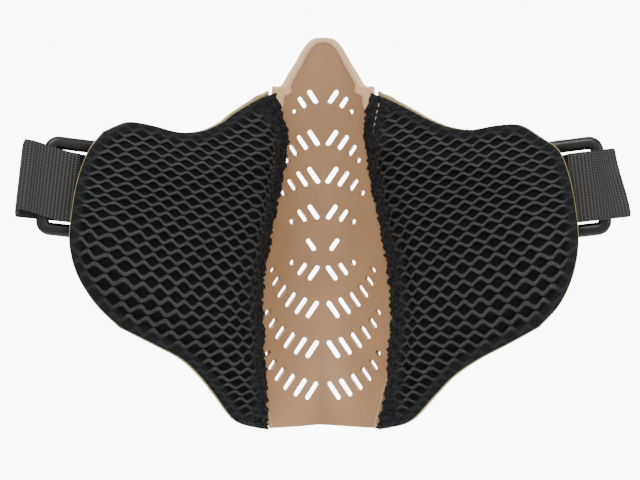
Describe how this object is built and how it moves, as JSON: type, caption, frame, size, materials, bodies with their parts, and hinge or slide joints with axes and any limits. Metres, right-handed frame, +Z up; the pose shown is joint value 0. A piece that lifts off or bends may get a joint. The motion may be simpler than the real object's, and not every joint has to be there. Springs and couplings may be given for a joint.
{
  "type": "half face mask",
  "caption": "Half-face mask with a vented moulded nose panel, padded mesh-lined cheek wings and a webbing strap through a plastic loop on each side.",
  "frame": {"origin": "on the middle plane between the cheek pads, halfway up the mask and 40 mm behind the deepest point of the nose panel's inner face", "axes": "+Z up as worn, the wearer faces -Y, +X is the wearer's left"},
  "size_m": [0.2236, 0.0655, 0.1488],
  "materials": {
    "panel_plastic": "satin moulded, tan",
    "camouflage_fabric": "woven, printed in tan, brown and green",
    "foam": "foam sheet",
    "spacer_mesh": "black spacer mesh",
    "webbing": "ribbed dark grey webbing",
    "loop_plastic": "semi-gloss black, moulded"
  },
  "bodies": {
    "panel": {"nose_panel": "panel_plastic", "lining_margin_left": "spacer_mesh", "lining_margin_right": "spacer_mesh", "hinge_strip_left": "spacer_mesh", "hinge_strip_right": "spacer_mesh"},
    "wing_left": {"wing_shell_left": "camouflage_fabric", "foam_core_left": "foam", "mesh_lining_left": "spacer_mesh", "anchor_tab_left": "webbing", "strap_run_left": "webbing", "strap_tail_left": "webbing"},
    "loop_left": {"strap_ring_left": "loop_plastic", "strap_loop_left": "webbing"},
    "keeper_left": {"strap_keeper_left": "loop_plastic"},
    "wing_right": {"wing_shell_right": "camouflage_fabric", "foam_core_right": "foam", "mesh_lining_right": "spacer_mesh", "anchor_tab_right": "webbing", "strap_run_right": "webbing", "strap_tail_right": "webbing"},
    "loop_right": {"strap_ring_right": "loop_plastic", "strap_loop_right": "webbing"},
    "keeper_right": {"strap_keeper_right": "loop_plastic"}
  },
  "joints": [
    {"name": "wing_left_fold", "type": "hinge", "parent": "panel", "child": "wing_left", "pos_m": [0.0275, -0.014, 0], "axis": [0, 0, 1], "range_deg": [-15, 55], "deforming": ["hinge_strip_left"]},
    {"name": "loop_left_swing", "type": "hinge", "parent": "wing_left", "child": "loop_left", "pos_m": [0.07914, 0.00468, 0.01743], "axis": [-0.1132, 0, 0.9936], "range_deg": [-40, 6]},
    {"name": "keeper_left_slide", "type": "slide", "parent": "wing_left", "child": "keeper_left", "axis": [0.9535, 0.2811, 0.1086], "range_m": [-0.006, 0.008]},
    {"name": "wing_right_fold", "type": "hinge", "parent": "panel", "child": "wing_right", "pos_m": [-0.0275, -0.014, 0], "axis": [0, 0, -1], "range_deg": [-15, 55], "deforming": ["hinge_strip_right"]},
    {"name": "loop_right_swing", "type": "hinge", "parent": "wing_right", "child": "loop_right", "pos_m": [-0.07914, 0.00468, 0.01743], "axis": [-0.1132, 0, -0.9936], "range_deg": [-40, 6]},
    {"name": "keeper_right_slide", "type": "slide", "parent": "wing_right", "child": "keeper_right", "axis": [-0.9535, 0.2811, 0.1086], "range_m": [-0.006, 0.008]}
  ]
}
